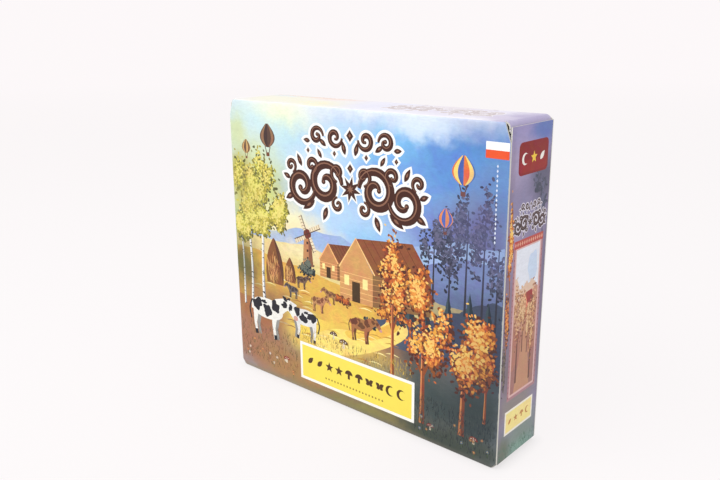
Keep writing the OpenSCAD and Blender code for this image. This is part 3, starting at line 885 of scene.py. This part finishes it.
HORN = np.linspace(-2.2, 2.2, 16)
ICONS = {
    "leaf": [leaf_shape(-0.6, -0.6, 1.7, 0.9, TAU / 8)],
    "star": [star_shape(5, 0.95, 0.42)],
    "toadstool": [arc(0, 0, 0.85, 0.8, np.linspace(0, math.pi, 12)), box_shape(-0.24, -0.8, 0.24, 0)],
    "butterfly": [leaf_shape(0, 0, reach, 0.7, turn) for turn, reach in
                  ((0.6, 1.0), (-0.6, 0.8), (math.pi - 0.6, 1.0), (math.pi + 0.6, 0.8))],
    "moon": [np.vstack([arc(-0.1, 0, -0.9, 0.9, HORN), arc(0.25, 0, -0.72, 0.72, HORN[::-1])])],
    "fish": [leaf_shape(-0.55, 0, 1.6, 0.9, 0.0), np.array([(-0.95, -0.42), (-0.4, 0), (-0.95, 0.42)])],
}
KINDS = tuple(ICONS)


def small_icon(picture, layer, kind, u, v, size, tone):
    """A plain one-colour picture for a card or label."""
    for shape in ICONS[kind]:
        picture.put(shape * size + (u, v), tone, layer)


def ink_material(name, across, up, strokes, glazes):
    """Printed shapes: the ink attribute of each shape under glazes and brushwork, with the board's varnish."""
    material, shader, position = new_material(name)
    place = sheet_place(position, across, up)
    tone = add("ShaderNodeAttribute", tree=material.node_tree, attribute_name="ink")
    surface(shader, painted(place, tone, glazes, strokes), *varnish(place), 0.5, 0.1, Coat_Weight=INK_COAT,
            **INK_SHINE)
    return material


BARE_SIDE = (np.zeros((0, 2)), np.zeros((0, 2)), np.zeros(0))


def stacked(picture, limits, below):
    """Blocks in printing order without the shapes that pass the side's limits, with each shape's height: one
    more than the highest of the shapes before it whose boxes meet its own, so that no two tops lie in one
    plane. What the side already bears is given as low corners, high corners and heights, and comes back with
    the new ones added."""
    kept = []
    for shapes, tone, layer in sorted(picture.blocks, key=lambda block: block[2]):
        low, high = shapes.min(1), shapes.max(1)
        inside = (low >= limits[:2]).all(1) & (high <= limits[2:]).all(1)
        if inside.any():
            kept.append((shapes[inside], tone, low[inside], high[inside]))
    low, high = (np.vstack([below[k]] + [block[k + 2] for block in kept]) for k in (0, 1))
    known = len(below[2])
    heights = np.concatenate([below[2], np.zeros(len(low) - known)])
    for i in range(known, len(low)):
        meets = ((low[:i] < high[i]) & (high[:i] > low[i])).all(1)
        heights[i] = 1 + heights[:i][meets].max(initial=0.0)
    ends = known + np.cumsum([len(block[0]) for block in kept])
    layers = [(shapes, tone, heights[end - len(shapes):end]) for (shapes, tone, _, _), end in zip(kept, ends)]
    return layers, (low, high, heights)


def linked(name, data):
    """A new object in the scene."""
    item = bpy.data.objects.new(name, data)
    bpy.context.scene.collection.objects.link(item)
    return item


def print_piece(name, picture, side, body, strokes, glazes=(), below=BARE_SIDE):
    """Makes a picture into closed slabs on a side: for each shape a top, an underside and a quad for each edge.
    Returns what the side bears after it."""
    vertices, faces, tones, start = [], [], [], 0
    layers, printed = stacked(picture, FACES[side][3], below)
    for shapes, tone, heights in layers:
        following = np.roll(shapes, -1, axis=1)
        area = (shapes[..., 0] * following[..., 1] - following[..., 0] * shapes[..., 1]).sum(1)
        shapes = np.where((area < 0)[:, None, None], shapes[:, ::-1], shapes)
        count, corners = shapes.shape[:2]
        raised = np.broadcast_to(heights[:, None, None] * LAYER, (count, corners, 1))
        sunk = np.full((count, corners, 1), -UNDERSIDE)
        slab = np.concatenate([np.concatenate([shapes, raised], 2), np.concatenate([shapes, sunk], 2)], 1)
        vertices.append(slab.reshape(-1, 3))
        first = start + 2 * corners * np.arange(count)[:, None]
        k = np.arange(corners)
        faces += (first + k).tolist() + (first + corners + k[::-1]).tolist()
        ring = np.stack([k, k + corners, (k + 1) % corners + corners, (k + 1) % corners], 1)
        faces += (first[:, :, None] + ring[None]).reshape(-1, 4).tolist()
        tones.append(np.tile(tone, (2 * count * corners, 1)))
        start += 2 * count * corners
    sheet = np.concatenate(vertices)
    places = np.zeros_like(sheet)
    for column, (axis, sign, offset) in enumerate(FACES[side][:3]):
        places[:, axis] = sign * (sheet[:, column] - offset) * MM
    mesh = bpy.data.meshes.new(name)
    mesh.from_pydata(places.tolist(), [], faces)
    mesh.color_attributes.new(name="ink", type="FLOAT_COLOR", domain="POINT")
    mesh.color_attributes["ink"].data.foreach_set("color", np.concatenate(tones).astype(np.float32).ravel())
    mesh.materials.append(ink_material(name + "_ink", *FACES[side][:2], strokes, glazes))
    mesh.update()
    piece = linked(name, mesh)
    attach(piece, body)
    return printed


GREENS = ((90, 90, 52), (132, 126, 58), (172, 162, 66), (206, 192, 82), (236, 222, 124))
RUSTS = ((88, 50, 42), (146, 76, 46), (204, 112, 54), (236, 156, 72), (250, 202, 112))
GOLDS = ((120, 84, 48), (180, 128, 58), (226, 176, 76), (246, 210, 104))
SHADOWS = ((52, 54, 68), (66, 70, 88), (84, 86, 108), (104, 104, 132))
DARKS = ((36, 42, 46), (54, 62, 64), (80, 88, 84), (110, 116, 104))
ORANGE_BARK, BROWN_BARK = ((146, 76, 48), (230, 146, 90)), ((92, 58, 44), (198, 132, 80))
FADED = ((138, 86, 68), (176, 116, 82), (206, 152, 110), (230, 190, 146))
DARK_WOOD = ((74, 66, 66), (98, 86, 82), (126, 110, 100))
MOSS = ((56, 70, 58), (78, 94, 70), (104, 118, 80))

HILL_GLAZES = [
    (30, 112, 34, 24, (252, 240, 150, 0.4)), (94, 52, 50, 16, (255, 222, 104, 0.35)),
    (14, 24, 50, 30, (122, 78, 58, 0.5)), (6, 74, 24, 28, (66, 80, 54, 0.85)),
    (34, 50, 52, 24, (138, 98, 78, 0.8)), (60, 92, 30, 10, (252, 238, 200, 0.5)),
    (196, 44, 44, 66, (44, 54, 66, 0.6)), (160, 20, 44, 26, (58, 70, 72, 0.4)),
    (184, 122, 40, 30, (104, 104, 156, 0.4)), (176, 74, 50, 30, (66, 72, 92, 0.6)),
]
FRONT_GLAZES = [
    (196, 40, 40, 60, (44, 50, 62, 0.4)), (160, 14, 44, 26, (52, 56, 58, 0.4)),
    (190, 126, 36, 40, (104, 104, 150, 0.45)), (4, 76, 16, 24, (62, 82, 54, 0.5)),
    (12, 120, 26, 30, (200, 190, 96, 0.3)),
]
BACK_GLAZES = [
    (40, 70, 60, 30, (84, 100, 110, 0.4)), (150, 66, 60, 26, (250, 220, 120, 0.45)),
    (100, 24, 110, 24, (70, 84, 60, 0.4)), (186, 110, 40, 40, (250, 246, 196, 0.35)),
]


def front_hills():
    """The ground of the front's valley: blue far hills, straw-coloured near ones and a winding yellow track."""
    p = Picture(10)
    p.hills(0.4, 199.6, (96, 118, 5, 84, (160, 184, 226), 1), (84, 108, 5, 74, (122, 138, 186), 2),
            (98, 82, 3, 70, (232, 210, 144), 2), (86, 66, 2.4, 52, (226, 178, 84), 3))
    p.hills(118, 199.6, (60, 90, 4, 50, (76, 86, 110), 3))
    p.put(smooth_path([(118, 84), (112, 74), (128, 66), (112, 54), (84, 48), (66, 36), (90, 33), (120, 44),
                       (142, 60), (132, 74), (124, 84)], 6), (252, 224, 124), 3)
    p.put(smooth_path([(117, 80), (116, 73), (131, 66), (116, 56), (96, 50), (102, 46), (122, 52), (136, 63),
                       (128, 73), (122, 80)], 6), (240, 192, 84), 4)
    for k in range(60):
        u, v = p.rng.uniform(8, 136), p.rng.uniform(34, 74)
        p.line(smooth_path([(u - 5, v - 0.8), (u, v), (u + 5, v - 0.6)]), np.sin(np.linspace(0.1, 3.0, 17)) * 0.7,
               (190, 128, 58) if k % 2 else (255, 240, 170), 5)
    return p


def front_far_scenery():
    """What stands further off in the valley: dark wood, mill, ricks, plank houses, birches and balloons."""
    p = Picture(11)
    for u, v, tall in ((158, 92, 44), (168, 84, 52), (178, 92, 62), (188, 88, 70), (196, 80, 56)):
        foliage(p, 4, u, v + tall * 0.5, 8, tall * 0.42, 1.2, SHADOWS, 90, 7)
        trunk(p, 4, [(u, v - 12), (u + 0.6, v + tall * 0.7)], 1.4, 0.5, ((56, 56, 68),))
    for u in (136, 143, 154, 168, 181, 192):
        pine(p, 8, u, 64 + p.rng.uniform(-3, 3), 22 + p.rng.uniform(-3, 6), 10, ((46, 56, 66), (66, 82, 90)))
    windmill(p, 9, 66, 84, 9, 20, 12)
    hayrick(p, 11, 36, 66, 15, 30)
    hayrick(p, 11, 50, 70, 9, 16)
    timber_house(p, 6, 76, 80, 14, 21, 18, (204, 144, 92), (132, 76, 54))
    timber_house(p, 10, 92, 70, 25, 38, 40, (214, 156, 100), (144, 84, 56))
    for row in ((8, 66, 80, 7, 7, 1.1, DARKS, 90, 5), (14, 132, 68, 13, 5, 1.0, RUSTS[:4], 90, 7),
                (14, 94, 68, 9, 4, 1.0, RUSTS[:3], 70, 6), (14, 116, 60, 6, 4, 1.0, DARKS, 50, 5)):
        foliage(p, *row)
    for points, wide in (([(13, 44), (14.5, 74), (12, 118)], 2.4), ([(25, 50), (25, 76), (28, 122)], 2.8),
                         ([(6, 46), (6.5, 78), (4.5, 110)], 1.8)):
        birch(p, 15, points, wide)
    for row in ((12, 122, 12, 24), (29, 128, 14, 20), (42, 112, 9, 15), (8, 98, 8, 14), (24, 106, 12, 12)):
        foliage(p, 18, *row, 1.25, GREENS, 230, 9)
    for row in ((175, 154, 6.8, ((232, 120, 62), (250, 214, 120), (74, 104, 176))),
                (165, 129, 4.6, ((84, 104, 190), (236, 146, 84))),
                (34, 159, 6.6, ((92, 68, 60), (150, 112, 84), (70, 52, 50))),
                (14, 151, 4.0, ((110, 84, 66), (206, 166, 106)))):
        balloon(p, 20, *row)
    return p


def front_near_scenery():
    """What stands nearer: cattle, orange trees with broad crowns, toadstools, grass and flowers."""
    p = Picture(13)
    cow(p, 16, 61, 34, 21, -1, (232, 230, 228), (44, 42, 50))
    cow(p, 21, 27, 27, 27, 1)
    for row in ((12, 60, 68, 8, 1, (118, 92, 80), (80, 60, 54)),
                (12, 84, 64, 8, -1, (176, 122, 82), (118, 76, 56)),
                (13, 74, 56, 10, 1, (196, 142, 96), (132, 84, 58)),
                (15, 108, 46, 15, 1, (172, 112, 74), (112, 68, 50)),
                (13, 52, 60, 8, -1, (110, 98, 96), (72, 62, 62))):
        cow(p, *row)
    for row in ((86, 42, 5), (94, 38, 6)):
        toadstool(p, 19, *row, (92, 60, 48))
    autumn_tree(p, 16, 131, 32, 80, 20, RUSTS, ORANGE_BARK, 1.25, 200)
    autumn_tree(p, 19, 152, 10, 84, 27, RUSTS, ORANGE_BARK, 1.4, 270)
    autumn_tree(p, 17, 178, 12, 76, 27, RUSTS, ORANGE_BARK, 1.4, 260)
    autumn_tree(p, 14, 192, 24, 50, 13, RUSTS[:4], ORANGE_BARK, 1.2, 110)
    grass(p, 21, 1, 54, 8, 34, 150, ((112, 78, 54), (158, 116, 72), (84, 84, 56)))
    grass(p, 21, 146, 199, 3, 26, 190, DARKS[:3])
    grass(p, 21, 56, 146, 33, 42, 110, ((176, 140, 66), (110, 92, 60), (214, 180, 84)))
    for row in ((158, 8, 4), (44, 14, 4.5), (186, 10, 4.5)):
        toadstool(p, 22, *row, (150, 62, 46))
    flowers(p, 22, 4, 50, 4, 20, 12, ((206, 196, 190), (190, 116, 84)))
    flowers(p, 22, 150, 196, 2, 14, 12, ((120, 136, 160), (176, 120, 90)))
    return p


def title_and_labels():
    """Leaf-scroll title band, yellow label with icons, two-colour bar and a thin lozenge chain."""
    p = Picture(12)
    title_ornament(p, 23, 101, 135.5, 90, (72, 40, 32), (142, 100, 80))
    p.box(57, 8.0, 147, 33, (252, 251, 248), 23)
    p.box(58.8, 9.8, 145.2, 31.2, (252, 230, 96), 24)
    for k, kind in enumerate(KINDS[:5]):
        for twin in (-4.0, 4.0):
            small_icon(p, 25, kind, 70.0 + 16.0 * k + twin, 22.2, 3.6, (84, 58, 36))
    for k in range(19):
        small_icon(p, 25, "star", 79 + 2.5 * k, 14, 0.95, (140, 104, 50))
    p.box(187, 166.4, 199.7, 170.3, (253, 252, 250), 23)
    p.box(187, 162.4, 199.7, 166.4, (238, 88, 50), 23)
    p.put(np.linspace((193.8, 122), (193.8, 159), 17)[:, None] + diamond(0.5, 0.85), (226, 232, 246), 23)
    return p


def end_picture(seed):
    """An end: red badge, small ornament, tall framed avenue, leaf garland and a yellow label."""
    p = Picture(seed)
    foliage(p, 1, 31, 140, 8, 14, 1.3, SHADOWS[1:], 90, 6)
    trunk(p, 1, [(36, 118), (33, 134), (30, 146)], 1.2, 0.5, ((92, 88, 112),))
    p.box(8.4, 153.4, 36.8, 169.4, (138, 22, 22), 6, 2.6)
    p.box(9.6, 154.6, 35.6, 160.5, (154, 30, 26), 7, 2.0)
    for k, kind in enumerate(("moon", "star", "leaf")):
        small_icon(p, 8, kind, 14.6 + 8.2 * k, 161.2, 3.3, (250, 206, 70) if kind == "star" else (246, 240, 232))
    title_ornament(p, 6, 22.3, 129, 28, (64, 44, 44), (130, 104, 102), (222, 214, 226), 0.5)
    p.box(8.0, 36, 36.8, 121.4, (176, 128, 136), 3)
    p.box(8.0, 117.4, 36.8, 121.4, (190, 80, 70), 4)
    p.box(9.6, 37.6, 35.2, 117.4, (222, 180, 176), 4)
    p.box(10.8, 38.8, 34.0, 116.6, (232, 234, 244), 5)
    p.put(blot(p.rng, 27.6, 105, 5.0, 7.6, 30, 0.1), (206, 220, 242), 6)
    p.put(np.linspace((9.4, 119.4), (35.4, 119.4), 13)[:, None] + diamond(0.8, 1.2), (226, 164, 142), 5)
    for u in (8.8, 36.0):
        p.put(np.linspace((u, 38), (u, 112), 26)[:, None] + 0.55 * diamond(0.8, 1.2), (150, 84, 92), 5)
    p.hills(10.8, 34.0, (100, 94, 3, 38.8, (228, 196, 172), 6), (86, 92, 3, 38.8, (200, 148, 124), 7),
            (76, 70, 3, 38.8, (180, 124, 104), 8), (54, 60, 3, 38.8, (166, 116, 108), 9))
    timber_house(p, 9, 18, 78, 6, 14, 7, (206, 120, 92), (178, 66, 60))
    p.put([(14, 38.8), (30, 38.8), (24.4, 76), (22.4, 76)], (196, 142, 112), 10)
    for u, v, tall, wide in ((15.6, 44, 66, 8), (29.6, 42, 56, 8), (20.6, 60, 40, 5), (25.8, 58, 30, 4)):
        trunk(p, 10, [(u, v), (u, v + tall * 0.4)], wide * 0.2, wide * 0.12, ((112, 72, 60),))
        foliage(p, 11, u, v + tall * 0.6, wide * 0.5, tall * 0.4, 0.9, FADED, 110, 7)
    p.box(7.0, 16.6, 35.6, 30.2, (248, 240, 226), 6)
    p.box(8.2, 17.8, 34.4, 29.0, (250, 228, 148), 7)
    for k, kind in enumerate(("leaf", "star", "toadstool", "moon")):
        small_icon(p, 8, kind, 12.2 + 6.1 * k, 23.4, 2.3, (196, 132, 68))
    vine = smooth_path([(4.6, 60), (3.4, 78), (5.4, 96), (3.6, 114), (5.2, 132), (4.2, 142)])
    p.line(vine, 0.7, (150, 92, 60), 9)
    for row in ((4.8, 122, 2.2, 20, 1.0, RUSTS[1:], 80), (4.4, 84, 1.8, 20, 0.9, RUSTS[:4], 60),
                (3.6, 56, 1.6, 14, 0.9, DARK_WOOD, 70)):
        foliage(p, 10, *row, 9)
    grass(p, 9, 1, 40, 1.5, 9, 60, ((86, 124, 104), (70, 104, 88)))
    return p


def back_scenery():
    """The valley from its other side, with two rows of picture cards over it."""
    p = Picture(21)
    rng = p.rng
    p.hills(0.4, 199.6, (108, 100, 6, 80, (146, 172, 214), 1), (92, 98, 5, 66, (128, 152, 160), 2),
            (78, 74, 5, 40, (176, 166, 96), 3), (50, 58, 4, 20, (150, 132, 76), 4))
    for k in range(16):
        pine(p, 5, 6 + 12.6 * k + rng.uniform(-2, 2), 72 + rng.uniform(-6, 8), 24 + rng.uniform(-4, 8), 11,
             ((60, 78, 78), (92, 112, 98)))
    for row in ((16, 24, 84, 30, RUSTS), (184, 22, 92, 30, GREENS), (46, 34, 50, 20, GOLDS),
                (158, 36, 54, 18, RUSTS)):
        autumn_tree(p, 9, *row, BROWN_BARK, 1.5, 230)
    windmill(p, 7, 100, 84, 13, 30, 18)
    cow(p, 16, 64, 26, 14, 1)
    cow(p, 16, 138, 24, 13, -1, (236, 230, 222), (110, 72, 54))
    tints = ((214, 96, 70), (74, 128, 150), (236, 190, 84), (120, 150, 84), (136, 118, 170), (196, 126, 84))
    card, inner = box_shape(-10, -10, 10, 10, 1.6), box_shape(-8.6, -8.6, 8.6, 8.6, 1.0)
    for row in range(2):
        for column in range(6):
            u, v = 42 + 23.2 * column, 148 - 25.5 * row
            turn = rng.normal(0, 0.05)
            spin = np.array([(math.cos(turn), math.sin(turn)), (-math.sin(turn), math.cos(turn))])
            kind = (column + 3 * row) % 6
            p.put(card @ spin + (u + 0.5, v - 0.6), (96, 104, 112), 17)
            p.put(card @ spin + (u, v), (250, 249, 246), 18)
            p.put(inner @ spin + (u, v), tints[kind], 19)
            p.put(blot(rng, u, v, 6.6, 6.6, 20, 0.03), tuple(0.5 * c + 124 for c in tints[kind]), 20)
            small_icon(p, 21, KINDS[kind], u, v, 4.2, (70, 52, 46))
    grass(p, 18, 1, 199, 3, 24, 330, MOSS)
    flowers(p, 19, 4, 196, 3, 20, 40, ((236, 236, 244), (214, 132, 96), (150, 170, 204)))
    balloon(p, 15, 20, 152, 8, ((74, 104, 176), (236, 226, 196)))
    balloon(p, 15, 186, 158, 6, ((214, 96, 70), (250, 214, 120)))
    return p


def top_print():
    """The narrow top: a very pale band of scrolls, a pink line and a garland of pale leaves."""
    p = Picture(31)
    title_ornament(p, 2, 146, 22, 60, (196, 182, 184), (222, 212, 214), (238, 234, 240), 0.8)
    p.line(smooth_path([(6, 37), (20, 38.2), (36, 37.4), (52, 38.4)]), 0.9, (226, 172, 162), 2)
    foliage(p, 3, 40, 36.2, 34, 1.6, 1.3, ((240, 214, 202), (250, 232, 206)), 110, 14)
    foliage(p, 3, 60, 12, 26, 5, 1.3, ((246, 240, 206), (240, 246, 226)), 80, 10)
    return p


printed = BARE_SIDE
for name, picture, strokes, glazes in (("front_hills", front_hills(), 0.5, HILL_GLAZES),
                                       ("front_far_scenery", front_far_scenery(), 0.45, FRONT_GLAZES),
                                       ("front_near_scenery", front_near_scenery(), 0.45, FRONT_GLAZES),
                                       ("front_title_and_labels", title_and_labels(), 0.07, ())):
    printed = print_piece(name, picture, "front", "carton", strokes, glazes, printed)
print_piece("right_end_picture", end_picture(41), "right_end", "right_closure", 0.3)
print_piece("left_end_picture", end_picture(42), "left_end", "left_closure", 0.3)
print_piece("back_picture", back_scenery(), "back", "carton", 0.45, BACK_GLAZES)
print_piece("top_picture", top_print(), "top", "carton", 0.08)


# ---------------------------------------------------------------- floor, light and camera

WHITE_SEEN, FLOOR_SEEN = (0.98, 0.94, 0.948, 1.0), (0.99, 0.955, 0.96, 1.0)
FLOOR_HALF = 4.0
LAMP_SIZE = 0.9


def show(tree, kind, shader, shown, share=1.0):
    """Gives an output a shader, and what rays from the camera are shown instead, whole or by a share. Rays
    that come by way of gloss or glass count as the camera's."""
    path = add("ShaderNodeLightPath", tree=tree).all_outputs()
    seen = greater(greater(path["Is Camera Ray"], path["Is Glossy Ray"]), path["Is Transmission Ray"])
    mix = add("ShaderNodeMixShader", {0: seen * share, 1: Value(shader.outputs[0]), 2: shown})
    feed(next(n for n in tree.nodes if n.type == kind), Surface=mix)


def studio_floor():
    """A wide pale floor: near white to the camera, with the carton's soft shadow kept faint, and the
    surround's white far away. Round the carton's resting foot less glow is shown: partly painted contact
    shadow, partly the rendered shadow let through."""
    mesh = bpy.data.meshes.new("studio_floor")
    corners = box_shape(-FLOOR_HALF, -FLOOR_HALF, FLOOR_HALF, FLOOR_HALF)
    mesh.from_pydata([(x, y, 0) for x, y in corners], [], [(0, 1, 2, 3)])
    material, shader, place = new_material("pale_floor")
    feed(shader, Base_Color=(0.9, 0.9, 0.9, 1), Roughness=0.9, Specular_IOR_Level=0.1)
    away = spread(length_of(place), 0.5, 3.0)
    gap = length_of(greater(abs(place) - (WIDTH / 2 * MM, DEPTH / 2 * MM, 0), NOWHERE))
    glow = add("ShaderNodeEmission", {"Color": blend(away, FLOOR_SEEN, WHITE_SEEN), "Strength": 1.0})
    # Painted contact shadow: within 6 mm of the carton's resting foot less glow is shown, so the floor there is
    # darker and the rendered shadow shows more.
    near = spread(gap, 0.0, 0.006, 0.7, 0.88)
    show(material.node_tree, "OUTPUT_MATERIAL", shader, glow, away * 0.12 + near)
    mesh.materials.append(material)
    floor = linked("studio_floor", mesh)


def studio_world(strength):
    """An even pale surround, plain white where the camera sees it."""
    world = bpy.data.worlds.new("studio_world")
    bpy.context.scene.world = world
    world.use_nodes = True
    tree = world.node_tree
    surround = next(n for n in tree.nodes if n.type == "BACKGROUND")
    feed(surround, Color=WHITE, Strength=strength)
    white = add("ShaderNodeBackground", {"Color": WHITE_SEEN, "Strength": 1.0}, tree=tree)
    show(tree, "OUTPUT_WORLD", surround, white)


def soft_lamp(name, place, power):
    """A square area lamp aimed at the middle of the carton."""
    lamp = bpy.data.lights.new(name, "AREA")
    lamp.size = LAMP_SIZE
    lamp.energy = power
    item = linked(name, lamp)
    item.location = place
    item.rotation_euler = (Vector((0, 0, 0.09)) - Vector(place)).to_track_quat("-Z", "Y").to_euler()


def place_camera():
    """A camera at the front right, a little above, looking slightly down; its lens is set for a frame of 720 by
    480.
    """
    camera = bpy.data.cameras.new("main_camera")
    camera.sensor_width = 36.0
    camera.lens = 37.343
    camera.clip_start = 0.01
    item = linked("main_camera", camera)
    right, up, back = (0.75154, 0.65964, -0.00801), (-0.1741, 0.21004, 0.96207), (0.6363, -0.72163, 0.27269)
    turn = Matrix((right, up, back)).transposed().to_4x4()
    item.matrix_world = Matrix.Translation((0.2728, -0.32106, 0.22137)) @ turn
    bpy.context.scene.camera = item


studio_floor()
studio_world(0.6)
soft_lamp("key_lamp", (-0.35, -0.95, 0.95), 8.4)
soft_lamp("fill_lamp", (1.1, -0.25, 0.7), 2.4)
soft_lamp("top_lamp", (0.1, 0.2, 1.3), 2.2)
place_camera()
bpy.context.scene.view_settings.view_transform = "Standard"
